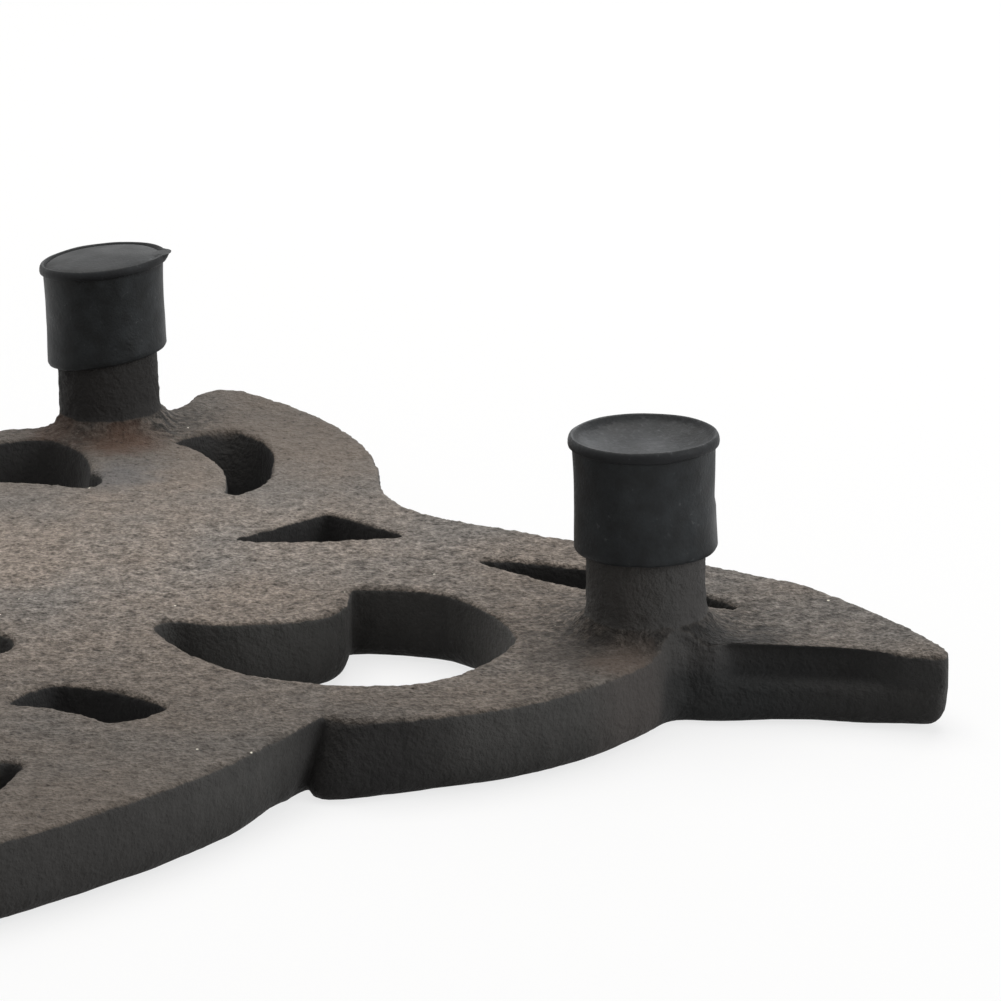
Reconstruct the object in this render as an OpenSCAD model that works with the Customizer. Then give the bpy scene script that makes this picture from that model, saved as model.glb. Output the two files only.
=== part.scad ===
/* [Plate] */
// Length of the plate, from leaf tip to leaf tip
plate_l = 166; // [140:2:190]
// Width of the plate, across the two broad petals
plate_w = 138; // [116:2:158]
// Thickness of the plate
plate_t = 6.4; // [4:0.1:8]
// Radius of the rounded edges on the pot side
pot_edge_r = 1.6; // [0.6:0.1:2]

/* [Legs] */
// Diameter of a leg where the foot cap sits
leg_d = 9.6; // [8:0.2:11]
// Height from the plate to the ground, over leg and foot cap
stand_h = 16.7; // [14:0.1:24]
// How far a leg's root, down through the plate, stands out from the leg all round
root_flare = 0.6; // [0.3:0.1:1.2]
// Height over which a leg widens into its root
root_h = 3.4; // [2:0.2:4]
// Reach of the fillet from the root out over the plate
skirt_w = 2.6; // [1:0.2:4]
// Height of the fillet on the plate
skirt_h = 1.1; // [0.5:0.1:1.6]
// Chamfer on the free end of a leg
leg_chamfer = 0.6; // [0.2:0.1:1]

/* [Foot caps] */
// Length of a foot cap
cap_l = 9.5; // [8:0.5:12]
// Thickness of a foot cap's wall
cap_wall_t = 0.88; // [0.6:0.01:1.6]
// How far the ring at the closed end stands out from the wall
cap_ring_out = 0.32; // [0.2:0.02:0.5]
// Height of the ring at the closed end
cap_ring_h = 1.0; // [0.6:0.1:1.6]
// Depth of the dish in the sole
dish_depth = 0.7; // [0.3:0.1:1.2]
// Width of the lip around the dish
dish_lip = 0.5; // [0.3:0.1:1]
// Thickness of the sole between dish and leg
sole_t = 1.3; // [0.8:0.1:2]
// Chamfer on the outside of the open end
mouth_chamfer = 0.3; // [0.1:0.1:0.5]
// Radial gap between leg and foot cap
cap_gap = 0.05; // [0.02:0.01:0.1]

/* [Hidden] */

half_l = plate_l / 2;
half_w = plate_w / 2;
leg_r = leg_d / 2;
root_r = leg_r + root_flare;
top_z = plate_t + stand_h;
cap_mouth_z = top_z - cap_l;
leg_end_z = top_z - dish_depth - sole_t;
overrun = 1;
arc_steps = 8;
// Steps that make up the rounding of a pot-side edge, of which the last is cut flush
edge_steps = 4;
// Radius of the dish's flat floor, as a share of the dish's own radius
dish_floor_share = 0.8;
round_fn = 96;

// Two leg places on one half of the plate, as shares of the half length and half width
right_leg_share = [0.717, -0.094];
back_leg_share = [0.130, 0.841];

// The rim over half a turn, from one leaf tip round to the next. Each corner is given as shares of
// the half length and half width, then the rise of the arc to the next corner as a share of its
// chord: above zero swells out of the metal, below zero curves into it.
rim_shares = [
    [0.994, -0.224, 0.12],
    [0.999, -0.190, 0.08],
    [0.790, 0.145, 0.00],
    [0.520, 0.360, -0.10],
    [0.446, 0.529, 0.10],
    [0.304, 0.950, 0.03],
    [0.269, 0.997, 0.25],
    [0.217, 0.958, -0.08],
    [0.186, 0.880, 0.20],
    [0.070, 0.817, 0.05],
    [0.012, 0.828, 0.07],
    [-0.035, 0.790, 0.075],
    [-0.413, 0.357, 0.10],
    [-0.452, 0.383, 0.14],
    [-0.733, 0.175, -0.20],
    [-0.760, 0.160, -0.03]
];

// Openings of one half of the plate, in the same form as the rim
scroll_shares = [
    [0.234, -0.049, -0.30],
    [0.263, -0.022, 0.09],
    [0.372, -0.034, 0.20],
    [0.423, 0.040, 0.03],
    [0.424, 0.083, -0.06],
    [0.520, 0.054, -0.08],
    [0.590, -0.116, -0.13],
    [0.482, -0.271, -0.16]
];
crescent_shares = [
    [0.208, 0.738, -0.12],
    [0.269, 0.801, -0.12],
    [0.324, 0.609, -0.12],
    [0.294, 0.487, -0.30],
    [0.278, 0.507, 0.11]
];
vein_shares = [
    [0.543, 0.188, -0.105],
    [0.816, -0.032, -0.060]
];
barb_shares = [
    [0.294, 0.297, 0.02],
    [0.392, 0.397, 0.00],
    [0.477, 0.296, -0.10]
];
petal_slit_shares = [
    [0.114, -0.299, -0.10],
    [0.153, -0.235, -0.08],
    [0.266, -0.323, -0.12],
    [0.214, -0.368, 0.08]
];
bow_shares = [
    [0.122, 0.535, 0.05],
    [0.027, 0.564, 0.08],
    [-0.128, 0.478, -0.30],
    [-0.142, 0.514, -0.08],
    [-0.040, 0.728, -0.10],
    [0.064, 0.768, -0.10],
    [0.124, 0.610, -0.24]
];
eye_shares = [
    [0.084, -0.055, -0.30],
    [0.080, -0.130, -0.10],
    [-0.084, 0.055, -0.30],
    [-0.080, 0.130, -0.10]
];
half_openings = [scroll_shares, crescent_shares, vein_shares, barb_shares, petal_slit_shares, bow_shares];

function placed(shares) = [for (c = shares) [c[0] * half_l, c[1] * half_w, c[2]]];
function turned(corners) = [for (c = corners) [-c[0], -c[1], c[2]]];

// Points of the arc from corner a to corner b, the end left out. A rise share r of the chord c turns
// the arc by 8 atan(2r) over its length, about a centre on the chord's own middle line.
function arc(a, b, n) =
    let (
        chord = [b[0] - a[0], b[1] - a[1]],
        c = norm(chord),
        out = [chord[1], -chord[0]] / c,
        rise = a[2] * c
    )
    a[2] == 0 ? [[a[0], a[1]]] :
    let (
        r = (c * c / 4 + rise * rise) / (2 * abs(rise)),
        side = sign(a[2]),
        mid = [a[0] + chord[0] / 2, a[1] + chord[1] / 2],
        centre = mid + out * (rise - side * r),
        start = atan2(a[1] - centre[1], a[0] - centre[0]),
        sweep = side * 4 * atan(2 * abs(a[2]))
    )
    [for (i = [0 : n - 1]) centre + r * [cos(start + sweep * i / n), sin(start + sweep * i / n)]];

function loop_points(corners, n) =
    [for (i = [0 : len(corners) - 1]) each arc(corners[i], corners[(i + 1) % len(corners)], n)];

function whole_rim() = let (h = placed(rim_shares)) concat(h, turned(h));

function leg_places() =
    let (
        r = [right_leg_share[0] * half_l, right_leg_share[1] * half_w],
        b = [back_leg_share[0] * half_l, back_leg_share[1] * half_w]
    )
    [r, b, -r, -b];

// The rim without its openings
module rim_flat() {
    polygon(loop_points(whole_rim(), arc_steps));
}

// Every opening of the plate, as flat shapes
module openings_flat() {
    for (shares = half_openings) {
        polygon(loop_points(placed(shares), arc_steps));
        polygon(loop_points(turned(placed(shares)), arc_steps));
    }
    polygon(loop_points(placed(eye_shares), arc_steps));
}

module plate_flat() {
    difference() {
        rim_flat();
        openings_flat();
    }
}

// Quarter hollow from [x0, y0] at its foot to [x1, y1] at its top, for the fillets
function hollow(x0, y0, x1, y1, n) =
    [for (i = [0 : n]) [x1 + (x0 - x1) * (1 - sin(90 * i / n)), y0 + (y1 - y0) * (1 - cos(90 * i / n))]];

// How far a rounded edge has drawn in at height z above the pot side
function edge_inset(z) = pot_edge_r - sqrt(pow(pot_edge_r, 2) - pow(pot_edge_r - z, 2));

// The plate, its edges rounded on the pot side in thin layers
module plate() {
    step = pot_edge_r / edge_steps;
    for (i = [0 : edge_steps - 2])
        translate([0, 0, i * step])
            linear_extrude(step)
                offset(delta = -edge_inset((i + 0.5) * step))
                    plate_flat();
    translate([0, 0, pot_edge_r - step])
        linear_extrude(plate_t - pot_edge_r + step)
            plate_flat();
}

// A leg: root through the plate, hollow taper, straight shank and chamfered end
module leg() {
    rotate_extrude($fn = round_fn)
        polygon(concat(
            [[0, 0], [root_r - pot_edge_r, 0], [root_r, pot_edge_r]],
            hollow(root_r, plate_t, leg_r, plate_t + root_h, arc_steps),
            [[leg_r, leg_end_z - leg_chamfer], [leg_r - leg_chamfer, leg_end_z], [0, leg_end_z]]
        ));
}

// The fillet where a leg's root meets the plate
module skirt() {
    rotate_extrude($fn = round_fn)
        polygon(concat(
            [[0, plate_t / 2], [root_r + skirt_w, plate_t / 2]],
            hollow(root_r + skirt_w, plate_t, root_r, plate_t + skirt_h, arc_steps),
            [[0, plate_t + skirt_h]]
        ));
}

module trivet_casting() {
    color([0.20, 0.18, 0.17]) {
        plate();
        for (p = leg_places())
            translate([p[0], p[1], 0])
                leg();
        intersection() {
            for (p = leg_places())
                translate([p[0], p[1], 0])
                    skirt();
            linear_extrude(top_z)
                plate_flat();
        }
    }
}

// A cap as it stands on a leg: open end down, dished sole up
module foot_cap(place) {
    bore_r = leg_r + cap_gap;
    wall_r = bore_r + cap_wall_t;
    ring_r = wall_r + cap_ring_out;
    lip_r = ring_r - cap_ring_out / 2;
    dish_r = lip_r - dish_lip;
    translate([place[0], place[1], 0])
        color([0.10, 0.10, 0.11])
            difference() {
                rotate_extrude($fn = round_fn)
                    polygon([
                        [0, cap_mouth_z],
                        [wall_r - mouth_chamfer, cap_mouth_z],
                        [wall_r, cap_mouth_z + mouth_chamfer],
                        [wall_r, top_z - cap_ring_h],
                        [ring_r, top_z - cap_ring_h + cap_ring_out],
                        [ring_r, top_z - cap_ring_out],
                        [lip_r, top_z],
                        [dish_r, top_z],
                        [dish_r * dish_floor_share, top_z - dish_depth],
                        [0, top_z - dish_depth]
                    ]);
                translate([0, 0, cap_mouth_z - overrun])
                    cylinder(h = leg_end_z - cap_mouth_z + overrun, r = bore_r, $fn = round_fn);
            }
}

trivet_casting();
foot_cap(leg_places()[0]);  // foot_cap_right
foot_cap(leg_places()[1]);  // foot_cap_back
foot_cap(leg_places()[2]);  // foot_cap_left
foot_cap(leg_places()[3]);  // foot_cap_front
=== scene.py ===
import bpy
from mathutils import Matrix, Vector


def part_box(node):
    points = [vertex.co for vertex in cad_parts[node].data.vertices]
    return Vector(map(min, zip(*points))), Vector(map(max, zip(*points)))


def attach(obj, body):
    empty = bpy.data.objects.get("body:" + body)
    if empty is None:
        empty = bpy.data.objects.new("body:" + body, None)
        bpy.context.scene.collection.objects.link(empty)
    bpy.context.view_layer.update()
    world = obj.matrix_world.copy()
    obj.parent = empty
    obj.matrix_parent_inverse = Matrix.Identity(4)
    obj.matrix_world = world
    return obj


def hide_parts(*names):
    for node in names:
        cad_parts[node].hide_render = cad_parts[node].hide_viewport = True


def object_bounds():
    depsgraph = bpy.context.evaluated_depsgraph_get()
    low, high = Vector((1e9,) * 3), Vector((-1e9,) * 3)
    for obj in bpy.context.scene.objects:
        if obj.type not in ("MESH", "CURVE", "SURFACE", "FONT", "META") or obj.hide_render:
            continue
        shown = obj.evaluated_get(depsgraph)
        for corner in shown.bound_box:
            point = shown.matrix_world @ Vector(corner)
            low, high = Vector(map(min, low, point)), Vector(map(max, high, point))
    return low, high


bl_info = {
    "name": "Cast trivet dressing",
    "version": (1, 0, 0),
    "blender": (4, 5, 0),
    "location": "3D View > Sidebar > Trivet",
    "description": "Rough iron casting, rubber foot caps and a pale stage for the packed trivet",
    "category": "Object",
}

import math

import bpy
import numpy as np
from mathutils import Matrix, Vector

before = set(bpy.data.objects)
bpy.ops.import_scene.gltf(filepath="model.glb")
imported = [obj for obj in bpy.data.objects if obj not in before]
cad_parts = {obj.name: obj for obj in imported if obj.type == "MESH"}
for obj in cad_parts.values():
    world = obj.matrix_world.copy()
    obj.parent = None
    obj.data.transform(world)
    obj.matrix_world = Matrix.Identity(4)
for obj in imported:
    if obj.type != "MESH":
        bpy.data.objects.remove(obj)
CAD_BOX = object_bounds()

WHOLE_TURN = 2 * math.pi

# Heights of the plate's top, the ground and the soles, and how far the floor lies under the object
PLATE_TOP = 0.0064
GROUND_Z = CAD_BOX[0].z
SOLE_Z = CAD_BOX[1].z
FLOOR_GAP = 0.00002

CAP_SIDES = ("right", "back", "left", "front")

# The bore of a cap, what counts as inside it, where its outer skin starts, and the ring's step
CAP_BORE_R = 0.00486
CAP_INSIDE_R = 0.0049
CAP_SKIN_R = 0.0054
CAP_RING_OUT = 0.00032


def middle(node):
    low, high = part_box(node)
    return (low + high) / 2


LEG_PLACE = {side: middle("foot_cap_" + side) for side in CAP_SIDES}

# Rust and pale smears on the underside, a dark patch of painted shade by the near lobe's end, and grime with
# painted shade beside the near leg: place in plan, reach, colour and strength
FLAT_STAINS_AND_SHADE = (
    (0.0125, 0.0505, 0.0050, (0.130, 0.080, 0.058, 1), 0.75),
    (0.0060, 0.0545, 0.0042, (0.110, 0.072, 0.055, 1), 0.60),
    (0.0130, 0.0400, 0.0052, (0.140, 0.138, 0.140, 1), 0.60),
    (0.0650, -0.0125, 0.0080, (0.030, 0.029, 0.028, 1), 0.90),
    (0.0545, -0.0115, 0.0070, (0.052, 0.045, 0.040, 1), 0.55),
    (0.0575, -0.0150, 0.0040, (0.210, 0.160, 0.130, 1), 0.45),
)

# Where the near lobe ends and the wall behind it turns away into the leaf: painted shade on that wall
LOBE_END_X = 0.0602
LOBE_END_SLANT = 0.11
LOBE_END_BLUR = 0.0003
BEHIND_LOBE = (0.0655, -0.0125, 0.0090)

# The middle, painted lighter as a pool of light, the leaf's end, where its band is painted in shade, and the
# notch between the two near lobes, painted in shade: place in plan and reach
LIT_MIDDLE_PATCH = (0.0160, 0.0200, 0.0380)
LEAF_END = (0.0735, -0.0135, 0.0150)
LOBE_NOTCH = (0.0375, -0.0265, 0.0082)
ROOT_DIRT_AND_SHADE_REACH = 0.0122

# Colours of pits, dust and lint, of grime with painted shade round the leg roots, of painted shade in the
# openings, on the leaf's band, past the near lobe, in the notch and on the caps' bead, and of painted glints
OPENING_SHADE = (0.026, 0.025, 0.025, 1)
LEAF_SHADE = (0.030, 0.030, 0.030, 1)
TURNED_AWAY_SHADE = (0.029, 0.030, 0.030, 1)
ROOT_DIRT_AND_SHADE = (0.026, 0.025, 0.023, 1)
NOTCH_SHADE = (0.018, 0.017, 0.017, 1)
PAINTED_GLINT = (0.85, 0.80, 0.68, 1)
PIT = (0.025, 0.022, 0.020, 1)
RUBBER_DUST = (0.040, 0.041, 0.044, 1)
BEAD_SHADE = (0.006, 0.006, 0.007, 1)
LINT = (0.110, 0.112, 0.115, 1)

# The leaf's wall where it stands back: a point on it, its slope in plan, and its stretch along X
LEAF_WALL_POINT = (0.0631, -0.011)
LEAF_WALL_SLOPE = -0.232
LEAF_WALL_START = (0.0645, 0.0665)
LEAF_WALL_END = (0.0745, 0.0800)

# The most faces that the casting keeps
MOST_FACES = 190000

# The lamps: name, place, side, watts and colour, and the point that they all face
LAMPS = (
    ("overhead_softbox", (0.02, 0.22, 0.75), 0.7, 4.8, (1.0, 0.985, 0.96)),
    ("back_softbox", (0.25, 0.75, 0.45), 0.5, 1.2, (0.93, 0.96, 1.0)),
    ("side_softbox", (0.75, -0.28, 0.30), 0.45, 2.6, (0.96, 0.98, 1.0)),
)
LAMP_AIM = Vector((0.03, 0.0, 0.0))

# Direction of the cut flap on the right and left caps, and of the torn tab on the back and front ones
FLAP_TURN = {"right": math.radians(-18), "left": math.radians(162)}
TAB_TURN = {"back": 0.0, "front": math.pi}

# Walls with more draft than the rest: place in plan, reach and how far the pot side is drawn over
WALL_LEANS = (
    (0.0365, -0.0262, 0.0065, (-0.0030, -0.0016)),
    (0.0295, -0.0295, 0.0050, (0.0, 0.0020)),
    (0.0352, -0.0070, 0.0060, (-0.0012, 0.0005)),
    (0.0125, 0.0430, 0.0090, (-0.0014, 0.0)),
    (0.0225, 0.0550, 0.0070, (0.0, -0.0030)),
    (0.0645, -0.0110, 0.0095, (0.0, -0.0013)),
)

# Walls lighter or darker than the rest, painted light on walls that face the lamps, painted shade on walls
# turned away, and some stains: place in plan, reach, colour and strength
WALL_LIGHT_SHADE_AND_STAINS = (
    (0.0290, -0.0110, 0.0120, (0.120, 0.117, 0.111, 1), 0.75),
    (0.0355, -0.0070, 0.0045, (0.190, 0.184, 0.174, 1), 0.70),
    (0.0490, -0.0050, 0.0085, (0.200, 0.194, 0.184, 1), 0.80),
    (0.0140, -0.0460, 0.0200, (0.050, 0.047, 0.045, 1), 0.60),
    (0.0108, 0.0580, 0.0120, (0.034, 0.032, 0.031, 1), 0.75),
    (0.0575, -0.0155, 0.0060, (0.100, 0.088, 0.082, 1), 0.65),
    (0.0642, -0.0098, 0.0042, (0.110, 0.104, 0.100, 1), 0.80),
    (0.0730, -0.0150, 0.0120, (0.034, 0.034, 0.034, 1), 0.55),
)

# Openings whose walls are painted in shade: place in plan and reach
DARK_OPENINGS = (
    (0.0150, -0.0210, 0.0150),
    (0.0315, 0.0235, 0.0110),
    (0.0560, 0.0060, 0.0160),
    (0.0225, 0.0460, 0.0140),
    (-0.0010, 0.0440, 0.0170),
)


def only(obj):
    """Leaves obj as the one selected and active object."""
    bpy.ops.object.select_all(action="DESELECT")
    obj.select_set(True)
    bpy.context.view_layer.objects.active = obj


def apply_modifier(obj, kind, **settings):
    """Adds a modifier, sets it up and applies it."""
    only(obj)
    mod = obj.modifiers.new(kind.lower(), kind)
    for key, value in settings.items():
        setattr(mod, key, value)
    bpy.ops.object.modifier_apply(modifier=mod.name)


def points_of(obj):
    co = np.empty(len(obj.data.vertices) * 3, np.float32)
    obj.data.vertices.foreach_get("co", co)
    return co.reshape(-1, 3).astype(float)


def set_points(obj, co):
    obj.data.vertices.foreach_set("co", co.astype(np.float32).ravel())
    obj.data.update()


def weigh(obj, name, weights, levels=24):
    """A vertex group from an array of weights, in a few even levels."""
    group = obj.vertex_groups.get(name) or obj.vertex_groups.new(name=name)
    rank = np.rint(np.clip(weights, 0, 1) * levels).astype(int)
    for level in range(1, levels + 1):
        members = np.nonzero(rank == level)[0]
        if len(members):
            group.add(members.tolist(), level / levels, "REPLACE")
    return name


def ramp(values, start, end):
    """0 before start, 1 after end, an even ease between them."""
    t = np.clip((values - start) / (end - start), 0, 1)
    return t * t * (3 - 2 * t)


def roughen(obj, name, size, depth, strength, group=""):
    """Pushes the skin in and out by a cloud pattern, where the vertex group lets it."""
    pattern = bpy.data.textures.new(name, "CLOUDS")
    pattern.noise_scale = size
    pattern.noise_depth = depth
    apply_modifier(obj, "DISPLACE", texture=pattern, texture_coords="LOCAL", strength=strength,
                   mid_level=0.5, vertex_group=group)


def dress(piece, material, node, body):
    """Gives a finished piece its material, hides the CAD part that it replaces and puts it under the body
    that it moves with.
    """
    piece.vertex_groups.clear()
    piece.data.materials.clear()
    piece.data.materials.append(material)
    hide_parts(node)
    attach(piece, body)


def new_group(name, inputs, outputs):
    """An empty shader group with its sockets, and its two end nodes."""
    tree = bpy.data.node_groups.new(name, "ShaderNodeTree")
    for label, default in inputs:
        sock = tree.interface.new_socket(label, in_out="INPUT", socket_type="NodeSocketFloat")
        sock.default_value = default
    for label, kind in outputs:
        tree.interface.new_socket(label, in_out="OUTPUT", socket_type=kind)
    return tree, tree.nodes.new("NodeGroupInput"), tree.nodes.new("NodeGroupOutput")


def put(tree, kind, inputs=(), **settings):
    """Adds a node, sets it up and wires it: each input is a value or another node's output."""
    node = tree.nodes.new(kind)
    for key, value in settings.items():
        setattr(node, key, value)
    for key, value in dict(inputs).items():
        socket = node.inputs[key]
        if isinstance(value, bpy.types.NodeSocket):
            tree.links.new(value, socket)
        else:
            socket.default_value = value
    return node


def maths(tree, operation, first, second=0.0):
    return put(tree, "ShaderNodeMath", {0: first, 1: second}, operation=operation).outputs[0]


def times(tree, first, *others):
    """The product of masks and shares."""
    for other in others:
        first = maths(tree, "MULTIPLY", first, other)
    return first


def ranged(tree, value, low, high, to_low=0.0, to_high=1.0):
    node = put(tree, "ShaderNodeMapRange", {
        "Value": value, "From Min": low, "From Max": high, "To Min": to_low, "To Max": to_high})
    return node.outputs["Result"]


def mixed(tree, factor, first, second, blend="MIX"):
    node = put(tree, "ShaderNodeMix", data_type="RGBA", blend_type=blend)
    for socket, value in ((node.inputs[0], factor), (node.inputs[6], first), (node.inputs[7], second)):
        if isinstance(value, bpy.types.NodeSocket):
            tree.links.new(value, socket)
        else:
            socket.default_value = value
    return node.outputs[2]


def place_socket(tree):
    return tree.nodes.new("ShaderNodeTexCoord").outputs["Object"]


def place_part(tree, axis):
    """One coordinate of a point's place, in metres."""
    return put(tree, "ShaderNodeSeparateXYZ", {0: place_socket(tree)}).outputs[axis]


def noise(tree, size, detail=3.0, roughness=0.55, stretch=(1, 1, 1)):
    """Noise with features about size metres across, stretched along the axes."""
    mapping = put(tree, "ShaderNodeMapping", {
        "Vector": place_socket(tree), "Scale": tuple(1 / (size * share) for share in stretch)})
    node = put(tree, "ShaderNodeTexNoise", {
        "Vector": mapping.outputs[0], "Scale": 1.0, "Detail": detail, "Roughness": roughness})
    return node.outputs["Fac"]


def cast_grain_group():
    """Sand-cast grain: its height, its random tone (the Shade output), its dark pits, and the specks where
    glints are painted as highlights.
    """
    tree, start, end = new_group(
        "cast_grain",
        [("Grain Size", 0.00035), ("Lump Size", 0.0016)],
        [("Height", "NodeSocketFloat"), ("Shade", "NodeSocketFloat"), ("Pits", "NodeSocketFloat"),
         ("Glints", "NodeSocketFloat")])
    where = place_socket(tree)

    def at(size):
        inverse = maths(tree, "DIVIDE", 1.0, start.outputs[size])
        node = put(tree, "ShaderNodeVectorMath", {0: where, "Scale": inverse}, operation="SCALE")
        return node.outputs[0]

    def mottle(size, detail):
        return put(tree, "ShaderNodeTexNoise", {
            "Vector": at(size), "Scale": 1.0, "Detail": detail, "Roughness": 0.6}).outputs["Fac"]

    def cells(density):
        return put(tree, "ShaderNodeTexVoronoi", {
            "Vector": at("Lump Size"), "Scale": density, "Randomness": 1.0}).outputs["Distance"]

    fine = mottle("Grain Size", 2.0)
    lumps = mottle("Lump Size", 3.0)
    height = maths(tree, "ADD", times(tree, fine, 0.55), times(tree, lumps, 0.9))
    shade = times(tree, ranged(tree, fine, 0.30, 0.72, 0.46, 1.60),
                  ranged(tree, lumps, 0.32, 0.68, 0.62, 1.38))
    pits = times(tree, ranged(tree, cells(1.7), 0.30, 0.08), ranged(tree, lumps, 0.53, 0.41))
    glints = ranged(tree, cells(0.36), 0.036, 0.024)
    for name, value in (("Height", height), ("Shade", shade), ("Pits", pits), ("Glints", glints)):
        tree.links.new(value, end.inputs[name])


def facing_up_group():
    """1 on faces that look up and lie above a level, 0 on walls and below."""
    tree, start, end = new_group(
        "facing_up", [("Softness", 0.35), ("Level", -1.0)], [("Mask", "NodeSocketFloat")])
    normal = tree.nodes.new("ShaderNodeNewGeometry").outputs["Normal"]
    z = put(tree, "ShaderNodeSeparateXYZ", {0: normal}).outputs["Z"]
    top = maths(tree, "ADD", 0.5, start.outputs["Softness"])
    bottom = maths(tree, "SUBTRACT", 0.5, start.outputs["Softness"])
    over = maths(tree, "SUBTRACT", place_part(tree, "Z"), start.outputs["Level"])
    above = ranged(tree, over, -0.0003, 0.0003)
    tree.links.new(times(tree, above, ranged(tree, z, bottom, top)), end.inputs["Mask"])


def round_patch_group():
    """A ragged round patch: 1 at its middle, fading to 0 at its reach."""
    tree, start, end = new_group(
        "round_patch", [("Middle X", 0.0), ("Middle Y", 0.0), ("Reach", 0.01), ("Ragged", 0.3)],
        [("Mask", "NodeSocketFloat")])
    dx = maths(tree, "SUBTRACT", place_part(tree, "X"), start.outputs["Middle X"])
    dy = maths(tree, "SUBTRACT", place_part(tree, "Y"), start.outputs["Middle Y"])
    away = maths(tree, "SQRT", maths(tree, "ADD", times(tree, dx, dx), times(tree, dy, dy)))
    share = maths(tree, "DIVIDE", away, start.outputs["Reach"])
    wander = maths(tree, "SUBTRACT", noise(tree, 0.0022, detail=4.0), 0.5)
    wander = times(tree, wander, start.outputs["Ragged"])
    tree.links.new(ranged(tree, maths(tree, "ADD", share, wander), 1.0, 0.35), end.inputs["Mask"])


def principled(name, **constants):
    material = bpy.data.materials.new(name)
    material.use_nodes = True
    shader = material.node_tree.nodes["Principled BSDF"]
    for key, value in constants.items():
        shader.inputs[key.replace("_", " ")].default_value = value
    return material, material.node_tree, shader


def use_group(tree, group, **values):
    node = tree.nodes.new("ShaderNodeGroup")
    node.node_tree = bpy.data.node_groups[group]
    for key, value in values.items():
        node.inputs[key.replace("_", " ")].default_value = value
    return node


def patch_mask(tree, spot, ragged):
    """A round patch from a spot: its place in plan and its reach."""
    x, y, reach = spot
    node = use_group(tree, "round_patch", Middle_X=x, Middle_Y=y, Reach=reach, Ragged=ragged)
    return node.outputs["Mask"]


def underside_colour(tree, settings, grain):
    """Warm and cool patches under a grain that is crispest along the middle, with painted shade towards the
    near and far edges and a painted pool of light that makes the middle lighter.
    """
    patches = noise(tree, 0.016, detail=4.0)
    colour = mixed(tree, ranged(tree, patches, 0.36, 0.62),
                   tuple(settings.underside_cool), tuple(settings.underside_warm))
    across = place_part(tree, "Y")
    # painted shade: the underside darker towards its near and far edges
    near = ranged(tree, across, -0.030, 0.010, 0.72, 1.0)
    far = ranged(tree, across, 0.025, 0.050, 1.0, 0.84)
    crisp = times(tree, ranged(tree, across, -0.045, -0.008, 0.45, 1.0),
                  ranged(tree, across, 0.018, 0.048, 1.0, 0.28))
    speckle = times(tree, crisp, maths(tree, "SUBTRACT", grain.outputs["Shade"], 1.0))
    # painted light: the middle up to 1.36 times as light, as a pool of light
    lit_middle = ranged(tree, patch_mask(tree, LIT_MIDDLE_PATCH, 0.1), 0, 1, 1.0, 1.36)
    shade = times(tree, times(tree, near, far), maths(tree, "ADD", 1.0, speckle), lit_middle)
    return mixed(tree, 1.0, colour, shade, "MULTIPLY")


def behind_lobe_mask(tree, height):
    """Where painted shade goes: the wall past the near lobe's end, on the plate only."""
    past = maths(tree, "SUBTRACT", place_part(tree, "X"), times(tree, height, LOBE_END_SLANT))
    past = ranged(tree, past, LOBE_END_X - LOBE_END_BLUR, LOBE_END_X + LOBE_END_BLUR)
    on_plate = ranged(tree, height, PLATE_TOP - 0.0006, PLATE_TOP - 0.0026, 0.0, 0.90)
    return times(tree, patch_mask(tree, BEHIND_LOBE, 0.1), past, on_plate)


def wall_colour(tree, settings, height):
    """Streaked walls with painted shade towards the pot side, painted light and shade on some walls, a few
    stains, and painted shade in the openings and on the leaf's band.
    """
    streaks = noise(tree, 0.0016, stretch=(1, 1, 5), detail=3.0)
    wall = mixed(tree, ranged(tree, streaks, 0.3, 0.7), tuple(settings.wall_dark), tuple(settings.wall_light))
    # painted shade: walls darker towards the pot side
    wall = mixed(tree, 1.0, wall, ranged(tree, height, 0.0, 0.0044, 0.50, 1.08), "MULTIPLY")
    # painted light and shade on some walls, and stains
    for x, y, reach, tint, most in WALL_LIGHT_SHADE_AND_STAINS:
        wall = mixed(tree, times(tree, patch_mask(tree, (x, y, reach), 0.2), most), wall, tint)
    # painted shade on the wall past the near lobe's end
    wall = mixed(tree, behind_lobe_mask(tree, height), wall, TURNED_AWAY_SHADE)
    # painted shade on the walls of the openings
    for spot in DARK_OPENINGS:
        wall = mixed(tree, times(tree, patch_mask(tree, spot, 0.1), 0.8), wall, OPENING_SHADE)
    # painted shade on the leaf's wall where it stands back above the mould line
    band = ranged(tree, height, PLATE_TOP - 0.0032, PLATE_TOP - 0.0025)
    return mixed(tree, times(tree, patch_mask(tree, LEAF_END, 0.1), band, 0.6), wall, LEAF_SHADE)


def with_dirt_and_shade(tree, colour, up):
    """Dirt and painted shade round the roots of the legs and painted shade in the notch, then rust and pale
    smears on the underside, with painted shade by the near lobe's end and beside the near leg.
    """
    blotches = noise(tree, 0.0008, detail=3.0, roughness=0.65)
    # blotches of grime and painted shade round each leg's root, where shade falls
    for side in CAP_SIDES:
        root = patch_mask(tree, (LEG_PLACE[side].x, LEG_PLACE[side].y, ROOT_DIRT_AND_SHADE_REACH), 0.9)
        dirt_shade_blotches = times(tree, root, ranged(tree, blotches, 0.40, 0.54), up)
        colour = mixed(tree, dirt_shade_blotches, colour, ROOT_DIRT_AND_SHADE)
    # painted shade in the notch between the two near lobes, strongest on its walls
    notch = times(tree, patch_mask(tree, LOBE_NOTCH, 0.3), ranged(tree, up, 0, 1, 0.75, 0.2))
    colour = mixed(tree, notch, colour, NOTCH_SHADE)
    # rust and pale smears, and painted shade by the near lobe's end and beside the near leg
    for x, y, reach, tint, most in FLAT_STAINS_AND_SHADE:
        colour = mixed(tree, times(tree, patch_mask(tree, (x, y, reach), 0.8), up, most), colour, tint)
    return colour


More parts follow.
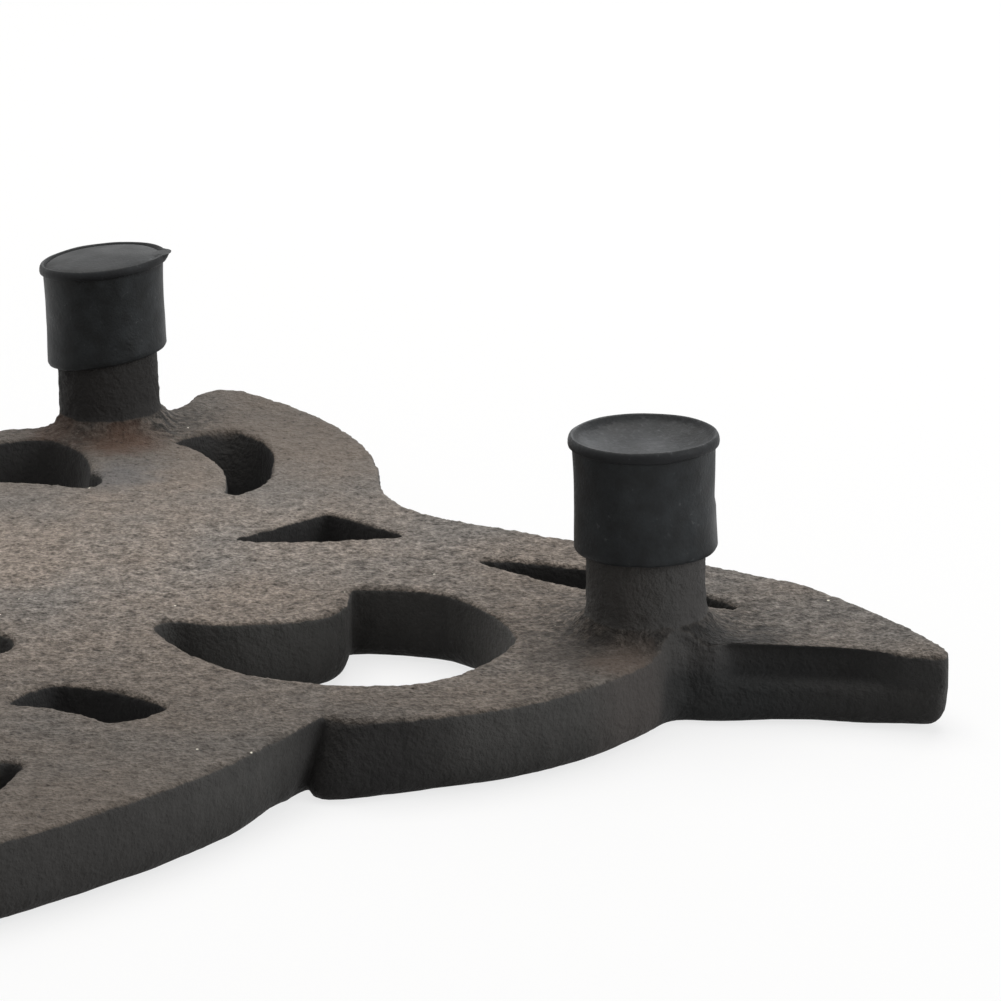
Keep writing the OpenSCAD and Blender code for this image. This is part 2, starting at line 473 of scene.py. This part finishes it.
def iron_material(settings):
    material, tree, shader = principled("rough_cast_iron", Specular_IOR_Level=0.15)
    height = place_part(tree, "Z")
    up = use_group(tree, "facing_up", Softness=0.13, Level=PLATE_TOP - 0.0010).outputs["Mask"]
    up = times(tree, up, ranged(tree, height, PLATE_TOP + 0.0050, PLATE_TOP + 0.0030))
    grain = use_group(tree, "cast_grain", Grain_Size=settings.grain_size, Lump_Size=settings.lump_size)
    colour = mixed(tree, up, wall_colour(tree, settings, height), underside_colour(tree, settings, grain))
    colour = with_dirt_and_shade(tree, colour, up)
    # painted highlights: pale glints on faces that look up
    colour = mixed(tree, times(tree, grain.outputs["Glints"], up), colour, PAINTED_GLINT)
    pits = times(tree, grain.outputs["Pits"], ranged(tree, up, 0, 1, 0.15, 0.85))
    colour = mixed(tree, pits, colour, PIT)
    tree.links.new(colour, shader.inputs["Base Color"])
    tree.links.new(ranged(tree, grain.outputs["Height"], 0.4, 1.0, 0.88, 0.66), shader.inputs["Roughness"])
    strength = ranged(tree, up, 0, 1, 0.60, 1.0)
    bump = put(tree, "ShaderNodeBump", {
        "Height": times(tree, grain.outputs["Height"], strength), "Strength": 1.0,
        "Distance": settings.grain_height})
    tree.links.new(bump.outputs[0], shader.inputs["Normal"])
    return material


def rubber_material(settings):
    material, tree, shader = principled("black_rubber", Specular_IOR_Level=0.2)
    mottle = noise(tree, 0.0016, detail=4.0)
    specks = noise(tree, 0.00045, detail=3.0)
    up = use_group(tree, "facing_up", Softness=0.3).outputs["Mask"]
    across, height = place_part(tree, "Y"), place_part(tree, "Z")
    colour = mixed(tree, ranged(tree, mottle, 0.35, 0.68),
                   tuple(settings.rubber_dark), tuple(settings.rubber_light))

    # painted shade darkens the sole, more on the far caps; the near caps are dustier
    sole = ranged(tree, across, 0.015, 0.040, 0.62, 0.48)
    colour = mixed(tree, 1.0, colour, ranged(tree, up, 0, 1, 1.0, sole), "MULTIPLY")
    dusty = ranged(tree, across, 0.015, 0.040, 1.0, 0.1)
    dust = times(tree, up, dusty, ranged(tree, specks, 0.48, 0.70, 0.0, 0.80))
    colour = mixed(tree, dust, colour, RUBBER_DUST)

    # painted shade on the bead round the ring, and lint here and there
    bead = ranged(tree, height, SOLE_Z - 0.0014, SOLE_Z - 0.0011, 0.0, 0.75)
    colour = mixed(tree, times(tree, bead, ranged(tree, up, 0, 1, 1, 0)), colour, BEAD_SHADE)
    lint = times(tree, ranged(tree, specks, 0.62, 0.72), ranged(tree, mottle, 0.50, 0.60), 0.45)
    colour = mixed(tree, lint, colour, LINT)
    tree.links.new(colour, shader.inputs["Base Color"])
    film = noise(tree, 0.005, detail=2.0)
    tree.links.new(ranged(tree, film, 0.3, 0.7, 0.42, 0.62), shader.inputs["Roughness"])
    bump = put(tree, "ShaderNodeBump", {
        "Height": noise(tree, 0.0003, detail=3.0), "Strength": 0.6, "Distance": 0.00006})
    tree.links.new(bump.outputs[0], shader.inputs["Normal"])
    return material


class TrivetCastingSettings(bpy.types.PropertyGroup):
    grain: bpy.props.FloatProperty(
        name="Mesh grain", description="Length of the casting's mesh faces before thinning",
        default=0.00034, subtype="DISTANCE", unit="LENGTH")
    pot_edge: bpy.props.IntProperty(
        name="Pot edge passes", description="Smoothing passes that round the edges of the pot side",
        default=26)
    tip_edge: bpy.props.IntProperty(
        name="Leaf tip passes", description="Smoothing passes that blunt the leaf tips' pot side", default=70)
    roughness: bpy.props.FloatProperty(
        name="Edge roughness", description="How far the sand's roughness moves the skin in or out",
        default=0.00028, subtype="DISTANCE", unit="LENGTH")
    waviness: bpy.props.FloatProperty(
        name="Waviness", description="How far the skin wanders over a fingertip's width",
        default=0.00035, subtype="DISTANCE", unit="LENGTH")
    ledge: bpy.props.FloatProperty(
        name="Ledge depth", description="How far the leaf's wall is drawn in above its mould line",
        default=0.0013, subtype="DISTANCE", unit="LENGTH")
    grain_size: bpy.props.FloatProperty(
        name="Grain size", description="Width of one grain of the cast skin",
        default=0.00036, subtype="DISTANCE", unit="LENGTH")
    lump_size: bpy.props.FloatProperty(
        name="Lump size", description="Width of the lumps that the grain gathers in",
        default=0.0013, subtype="DISTANCE", unit="LENGTH")
    grain_height: bpy.props.FloatProperty(
        name="Grain height", description="Height of the grain in the material's bump",
        default=0.00055, subtype="DISTANCE", unit="LENGTH")
    underside_warm: bpy.props.FloatVectorProperty(
        name="Underside, warm", description="Brown of the underside's warm patches", size=4, subtype="COLOR",
        default=(0.176, 0.148, 0.125, 1))
    underside_cool: bpy.props.FloatVectorProperty(
        name="Underside, cool", description="Grey of the underside between the warm patches", size=4,
        subtype="COLOR", default=(0.148, 0.134, 0.121, 1))
    wall_dark: bpy.props.FloatVectorProperty(
        name="Wall, dark", description="Black of the walls and legs", size=4, subtype="COLOR",
        default=(0.066, 0.064, 0.061, 1))
    wall_light: bpy.props.FloatVectorProperty(
        name="Wall, light", description="Grey of the walls' streaks", size=4, subtype="COLOR",
        default=(0.080, 0.077, 0.073, 1))


class TrivetCapSettings(bpy.types.PropertyGroup):
    steps: bpy.props.IntProperty(
        name="Steps round", description="Faces round a foot cap", default=128)
    wobble: bpy.props.FloatProperty(
        name="Wobble", description="How far the moulded rubber is out of true",
        default=0.00016, subtype="DISTANCE", unit="LENGTH")
    push: bpy.props.FloatProperty(
        name="Push", description="How far the right and left caps are pushed on beyond the other two",
        default=0.00034, subtype="DISTANCE", unit="LENGTH")
    rim_slant: bpy.props.FloatProperty(
        name="Slant of the rim", description="Rise of the back cap's rim over its width, as a share",
        default=0.068, subtype="FACTOR")
    mouth_slant: bpy.props.FloatProperty(
        name="Slant of the mouth", description="Rise of the back cap's mouth over its width, as a share",
        default=0.135, subtype="FACTOR")
    rubber_dark: bpy.props.FloatVectorProperty(
        name="Rubber", description="Black of the rubber", size=4, subtype="COLOR",
        default=(0.0125, 0.0135, 0.014, 1))
    rubber_light: bpy.props.FloatVectorProperty(
        name="Rubber, dusty", description="Grey of the rubber's dusty places", size=4, subtype="COLOR",
        default=(0.028, 0.031, 0.033, 1))


class TrivetStageSettings(bpy.types.PropertyGroup):
    floor_size: bpy.props.FloatProperty(
        name="Floor size", description="Side of the floor", default=6.0, subtype="DISTANCE", unit="LENGTH")
    floor_glow: bpy.props.FloatProperty(
        name="Floor glow", description="Share of the floor's white that no shadow darkens", default=0.75,
        subtype="FACTOR")
    camera_place: bpy.props.FloatVectorProperty(
        name="Camera place", description="Where the camera stands", size=3,
        subtype="TRANSLATION", unit="LENGTH", default=(0.048, -0.312, 0.11156))
    camera_pitch: bpy.props.FloatProperty(
        name="Camera pitch", description="How far the camera looks down", default=math.radians(17.12),
        subtype="ANGLE", unit="ROTATION")
    camera_roll: bpy.props.FloatProperty(
        name="Camera roll", description="Turn of the camera about its own line of sight",
        default=math.radians(-1.4), subtype="ANGLE", unit="ROTATION")
    lens: bpy.props.FloatProperty(
        name="Lens", description="Focal length in millimetres on a 36 mm sensor", default=143.86)


class TRIVET_OT_casting(bpy.types.Operator):
    """Cast the pierced plate and its legs in rough iron"""

    bl_idname = "trivet.casting"
    bl_label = "Iron casting"

    def execute(self, context):
        settings = context.scene.trivet_casting
        piece = self.fine_copy(context.scene, settings.grain)
        self.soften_pot_side(piece, settings.pot_edge)
        self.set_back_leaf_wall(piece, settings.ledge)
        self.blunt_tips(piece, settings.tip_edge)

        # draft left by the pattern: walls that lean into their opening towards the pot side
        for x, y, reach, (along, across) in WALL_LEANS:
            self.lean_wall(piece, (x, y), reach, (along, across))
            self.lean_wall(piece, (-x, -y), reach, (-along, -across))

        self.roughen_skin(piece, settings)
        self.keep_flat(piece)
        triangles = len(piece.data.polygons) * 2
        apply_modifier(piece, "DECIMATE", decimate_type="COLLAPSE", ratio=min(1.0, MOST_FACES / triangles))
        self.keep_flat(piece)
        only(piece)
        bpy.ops.object.shade_smooth()
        dress(piece, iron_material(settings), "trivet_casting", "casting")
        return {"FINISHED"}

    @staticmethod
    def fine_copy(scene, grain):
        """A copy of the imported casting, merged and given small even faces."""
        piece = bpy.data.objects.new("iron_casting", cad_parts["trivet_casting"].data.copy())
        scene.collection.objects.link(piece)
        only(piece)
        bpy.ops.object.mode_set(mode="EDIT")
        bpy.ops.mesh.select_all(action="SELECT")
        bpy.ops.mesh.remove_doubles(threshold=0.000002)
        bpy.ops.object.mode_set(mode="OBJECT")
        apply_modifier(piece, "REMESH", mode="VOXEL", voxel_size=grain)
        return piece

    @staticmethod
    def soften_pot_side(piece, passes):
        """Soft edges on the pot side, as the wax of the pattern had."""
        low = 1 - ramp(points_of(piece)[:, 2], 0.0014, 0.0026)
        group = weigh(piece, "pot_edge", low)
        apply_modifier(piece, "SMOOTH", factor=0.5, iterations=passes, vertex_group=group)
        apply_modifier(piece, "SMOOTH", factor=0.5, iterations=1)

    @staticmethod
    def set_back_leaf_wall(piece, depth):
        """The wall of each leaf stands back above the mould line."""
        co = points_of(piece)
        wall_x, wall_y = LEAF_WALL_POINT
        for sign in (1, -1):
            x, y, z = sign * co[:, 0], sign * co[:, 1], co[:, 2]
            along = ramp(x, *LEAF_WALL_START) * (1 - ramp(x, *LEAF_WALL_END))
            inward = y - (wall_y + (x - wall_x) * LEAF_WALL_SLOPE)
            near = 1 - ramp(inward, 0.0008, 0.0022)
            band = ramp(z, PLATE_TOP - 0.0032, PLATE_TOP - 0.0024)
            band *= 1 - ramp(z, PLATE_TOP - 0.0004, PLATE_TOP + 0.0001)
            group = weigh(piece, "ledge_%d" % sign, along * near * band)
            apply_modifier(piece, "DISPLACE", direction="Y", strength=sign * depth, mid_level=0.0,
                           vertex_group=group)

    @staticmethod
    def blunt_tips(piece, passes):
        """The leaf tips are blunter on the pot side."""
        co = points_of(piece)
        tips = ramp(np.abs(co[:, 0]), 0.0765, 0.0815) * (1 - ramp(co[:, 2], 0.0022, 0.0042))
        group = weigh(piece, "tips", tips)
        apply_modifier(piece, "SMOOTH", factor=0.5, iterations=passes, vertex_group=group)

    @staticmethod
    def lean_wall(piece, place, reach, shift):
        """Draws what lies near a place aside, more the nearer it is to the pot side."""
        co = points_of(piece)
        near = 1 - ramp(np.hypot(co[:, 0] - place[0], co[:, 1] - place[1]), 0.0, reach)
        depth = np.clip(1 - co[:, 2] / PLATE_TOP, 0, 1)
        co[:, 0] += shift[0] * near * depth
        co[:, 1] += shift[1] * near * depth
        set_points(piece, co)

    @staticmethod
    def roughen_skin(piece, settings):
        """The slow wander of a hand-finished pattern, and sand roughness where the mould was struck off."""
        roughen(piece, "pattern_wander", 0.009, 1, settings.waviness)
        z = points_of(piece)[:, 2]
        sand = 0.22 + 0.78 * ramp(z, PLATE_TOP - 0.0012, PLATE_TOP - 0.0004)
        roughen(piece, "sand_roughness", 0.0008, 2, settings.roughness, weigh(piece, "sand", sand))

    @staticmethod
    def keep_flat(piece):
        """Nothing of the pot side goes below the ground, and nothing outgrows the frame."""
        low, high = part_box("trivet_casting")
        set_points(piece, np.clip(points_of(piece), np.array(low), np.array(high)))


def cap_profile(ring_r, mouth_z, top_z):
    """Half section of a foot cap from the inside of its sole round to the middle of its dish, in (r, z)."""
    edge = 0.0003
    bore_r, wall_r = CAP_BORE_R, ring_r - CAP_RING_OUT
    sole_z = top_z - 0.0016
    points = [(0.0, sole_z), (bore_r * 0.5, sole_z), (bore_r - edge, sole_z), (bore_r, sole_z - edge)]
    for share in (0.2, 0.4, 0.6, 0.8):
        points.append((bore_r, sole_z + (mouth_z - sole_z) * share))
    points += [(bore_r, mouth_z + 0.0002), (bore_r + 0.0002, mouth_z)]
    points += [(wall_r - edge, mouth_z), (wall_r - 0.0001, mouth_z + 0.0001), (wall_r, mouth_z + edge)]

    # the wall, a trace thinner half way up
    wall_z, ring_z = mouth_z + edge, top_z - 0.00086
    rows, waist = 24, 0.00010
    for k in range(1, rows + 1):
        share = k / rows
        points.append((wall_r - waist * math.sin(math.pi * share), wall_z + (ring_z - wall_z) * share))

    # the ring: a crisp step below, a round nose, and a thin lip that falls into the dish
    for inward, drop in (
            (0.00010, 0.00084), (0.00003, 0.00078), (0.0, 0.00062), (0.00001, 0.00040), (0.00006, 0.00020),
            (0.00014, 0.00006), (0.00024, 0.0), (0.00034, 0.00002), (0.00044, 0.00010)):
        points.append((ring_r - inward, top_z - drop))

    # the dish, steep by its lip and flat in the middle
    lip_r, lip_drop, dish, hollow = ring_r - 0.00056, 0.00030, 0.00135, 3.6
    steps = 12
    for k in range(steps + 1):
        r = lip_r * (1 - k / steps)
        points.append((r, top_z - lip_drop - (dish - lip_drop) * (1 - (r / lip_r) ** hollow)))
    return points


class TRIVET_OT_foot_caps(bpy.types.Operator):
    """Mould the four rubber foot caps"""

    bl_idname = "trivet.foot_caps"
    bl_label = "Rubber foot caps"

    def execute(self, context):
        settings = context.scene.trivet_caps
        rubber = rubber_material(settings)
        pattern = self.spin_cap(settings.steps)
        for side in CAP_SIDES:
            piece = pattern.copy()
            piece.data = pattern.data.copy()
            piece.name = "rubber_cap_" + side
            context.scene.collection.objects.link(piece)
            self.place_cap(piece, side, settings)
            only(piece)
            bpy.ops.object.shade_smooth_by_angle(angle=math.radians(38))
            dress(piece, rubber, "foot_cap_" + side, "cap_" + side)
        bpy.data.objects.remove(pattern)
        return {"FINISHED"}

    @staticmethod
    def spin_cap(steps):
        """One cap about the Z axis: a half section drawn point by point, then spun."""
        low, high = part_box("foot_cap_right")
        profile = cap_profile((high.x - low.x) / 2, low.z, high.z)
        bpy.ops.object.select_all(action="DESELECT")
        bpy.ops.mesh.primitive_plane_add(size=0.001, location=(0, 0, 0))
        cap = bpy.context.active_object
        bpy.ops.object.mode_set(mode="EDIT")
        bpy.ops.mesh.select_all(action="SELECT")
        bpy.ops.mesh.merge(type="CENTER")
        here = profile[0]
        bpy.ops.transform.translate(value=(here[0], 0, here[1]))
        for r, z in profile[1:]:
            bpy.ops.mesh.extrude_region_move(TRANSFORM_OT_translate={"value": (r - here[0], 0, z - here[1])})
            here = (r, z)
        bpy.ops.mesh.select_all(action="SELECT")
        bpy.ops.mesh.spin(steps=steps, angle=WHOLE_TURN, center=(0, 0, 0), axis=(0, 0, 1))
        bpy.ops.mesh.select_all(action="SELECT")
        bpy.ops.mesh.remove_doubles(threshold=0.00001)
        bpy.ops.mesh.normals_make_consistent(inside=False)
        bpy.ops.object.mode_set(mode="OBJECT")
        return cap

    @staticmethod
    def place_cap(piece, side, settings):
        """Moves a cap to its leg and takes it out of true, the bore left straight."""
        low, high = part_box("foot_cap_" + side)
        co = points_of(piece)
        radius = np.hypot(co[:, 0], co[:, 1])
        turn = np.arctan2(co[:, 1], co[:, 0])
        skin = ramp(radius, CAP_INSIDE_R, CAP_SKIN_R)
        top = co[:, 2] > high.z - 0.0015
        outside = (radius >= CAP_INSIDE_R) | top | (co[:, 2] <= low.z + 0.0004)
        if side in FLAP_TURN:
            # pushed well on, with a cut flap that stands off the lower wall
            flap = ramp(np.cos(turn - FLAP_TURN[side]), 0.80, 0.84)
            flap *= (1 - ramp(co[:, 2] - low.z, 0.0036, 0.0040)) * skin
            co[:, :2] *= (1 + 0.020 * flap)[:, None]
            co[outside, 2] -= settings.push
        else:
            # pushed on askew, its sole swollen, with a torn tab of flash at the ring
            tab_turn = TAB_TURN[side]
            tab = ramp(np.cos(turn - tab_turn), 0.965, 1.0) * ramp(radius, 0.0048, 0.0058)
            tab *= ramp(co[:, 2], high.z - 0.0009, high.z - 0.0001)
            domed = top & (radius < CAP_SKIN_R)
            swelling = 1 - (radius[domed] / CAP_SKIN_R) ** 2
            co[domed, 2] = high.z - 0.00014 + 0.00048 * swelling
            share = (co[:, 2] - low.z) / (high.z - low.z)
            slant = settings.mouth_slant + (settings.rim_slant - settings.mouth_slant) * share
            rise = co[:, 0] * slant * math.cos(tab_turn) - 0.0050 * settings.rim_slant
            co[outside, 2] += rise[outside]
            co[:, 0] += 0.00055 * tab * math.cos(tab_turn)
            co[:, 2] += 0.00045 * tab
        co[:, 0] += LEG_PLACE[side].x
        co[:, 1] += LEG_PLACE[side].y
        set_points(piece, co)
        roughen(piece, "moulding_" + side, 0.0045, 1, settings.wobble, weigh(piece, "skin", skin))
        co = points_of(piece)
        co[:, 2] = np.minimum(co[:, 2], high.z)
        set_points(piece, co)


def seen_mask(tree):
    """1 for what the camera sees, straight or in a reflection, 0 for light that falls on the object."""
    path = tree.nodes.new("ShaderNodeLightPath").outputs
    mirrored = maths(tree, "MAXIMUM", path["Is Glossy Ray"], path["Is Transmission Ray"])
    return maths(tree, "MAXIMUM", path["Is Camera Ray"], mirrored)


class TRIVET_OT_stage(bpy.types.Operator):
    """Set up the floor, the lamps and the camera"""

    bl_idname = "trivet.stage"
    bl_label = "Pale stage"

    def execute(self, context):
        settings = context.scene.trivet_stage
        self.camera(context.scene, settings)
        self.floor(settings)
        self.lamps()
        self.world(context.scene)
        context.scene.view_settings.view_transform = "Standard"
        return {"FINISHED"}

    @staticmethod
    def camera(scene, settings):
        data = bpy.data.cameras.new("photo_camera")
        data.lens, data.sensor_width = settings.lens, 36.0
        data.clip_start, data.clip_end = 0.01, 50.0
        camera = bpy.data.objects.new("photo_camera", data)
        scene.collection.objects.link(camera)
        pitch = Matrix.Rotation(math.radians(90) - settings.camera_pitch, 4, "X")
        roll = Matrix.Rotation(settings.camera_roll, 4, "Z")
        camera.matrix_world = Matrix.Translation(Vector(settings.camera_place)) @ pitch @ roll
        scene.camera = camera

    @staticmethod
    def floor(settings):
        bpy.ops.object.select_all(action="DESELECT")
        bpy.ops.mesh.primitive_plane_add(size=settings.floor_size, location=(0, 0, GROUND_Z - FLOOR_GAP))
        floor = bpy.context.active_object
        floor.name = "studio_floor"
        material = bpy.data.materials.new("white_paper")
        material.use_nodes = True
        tree = material.node_tree
        tree.nodes.clear()
        paper = put(tree, "ShaderNodeBsdfDiffuse", {"Color": (0.95, 0.95, 0.95, 1)})
        dim = put(tree, "ShaderNodeBsdfDiffuse", {"Color": (0.32, 0.32, 0.32, 1)})
        glow = put(tree, "ShaderNodeEmission", {"Color": (1, 1, 1, 1), "Strength": 1.0})
        seen = seen_mask(tree)
        shown = put(tree, "ShaderNodeMixShader", {
            0: settings.floor_glow, 1: paper.outputs[0], 2: glow.outputs[0]})
        both = put(tree, "ShaderNodeMixShader", {0: seen, 1: dim.outputs[0], 2: shown.outputs[0]})
        out = tree.nodes.new("ShaderNodeOutputMaterial")
        tree.links.new(both.outputs[0], out.inputs["Surface"])
        floor.data.materials.append(material)

    @staticmethod
    def lamps():
        for name, place, size, watts, colour in LAMPS:
            data = bpy.data.lights.new(name, "AREA")
            data.shape = "SQUARE"
            data.size = size
            data.energy = watts
            data.color = colour
            lamp = bpy.data.objects.new(name, data)
            bpy.context.scene.collection.objects.link(lamp)
            lamp.location = place
            lamp.rotation_mode = "QUATERNION"
            lamp.rotation_quaternion = (LAMP_AIM - Vector(place)).to_track_quat("-Z", "Y")

    @staticmethod
    def world(scene):
        world = bpy.data.worlds.new("white_surround")
        scene.world = world
        world.use_nodes = True
        tree = world.node_tree
        tree.nodes.clear()
        seen = seen_mask(tree)
        strength = ranged(tree, seen, 0, 1, 0.22, 1.0)
        back = put(tree, "ShaderNodeBackground", {"Color": (1, 1, 1, 1), "Strength": strength})
        out = tree.nodes.new("ShaderNodeOutputWorld")
        tree.links.new(back.outputs[0], out.inputs["Surface"])


class TRIVET_PT_panel(bpy.types.Panel):
    """The trivet's pieces and stage"""

    bl_idname = "TRIVET_PT_panel"
    bl_label = "Trivet"
    bl_space_type = "VIEW_3D"
    bl_region_type = "UI"
    bl_category = "Trivet"

    def draw(self, context):
        scene = context.scene
        for operator, settings in (
                ("trivet.casting", scene.trivet_casting),
                ("trivet.foot_caps", scene.trivet_caps),
                ("trivet.stage", scene.trivet_stage)):
            box = self.layout.box()
            box.operator(operator)
            for name in settings.__annotations__:
                box.prop(settings, name)


SETTINGS = {
    "trivet_casting": TrivetCastingSettings,
    "trivet_caps": TrivetCapSettings,
    "trivet_stage": TrivetStageSettings,
}
CLASSES = (*SETTINGS.values(), TRIVET_OT_casting, TRIVET_OT_foot_caps, TRIVET_OT_stage, TRIVET_PT_panel)


def register():
    for item in CLASSES:
        bpy.utils.register_class(item)
    for name, group in SETTINGS.items():
        setattr(bpy.types.Scene, name, bpy.props.PointerProperty(type=group))


def unregister():
    for name in SETTINGS:
        delattr(bpy.types.Scene, name)
    for item in reversed(CLASSES):
        bpy.utils.unregister_class(item)


def main():
    register()
    cast_grain_group()
    facing_up_group()
    round_patch_group()
    bpy.ops.trivet.stage()
    bpy.ops.trivet.casting()
    bpy.ops.trivet.foot_caps()


if __name__ == "__main__":
    main()
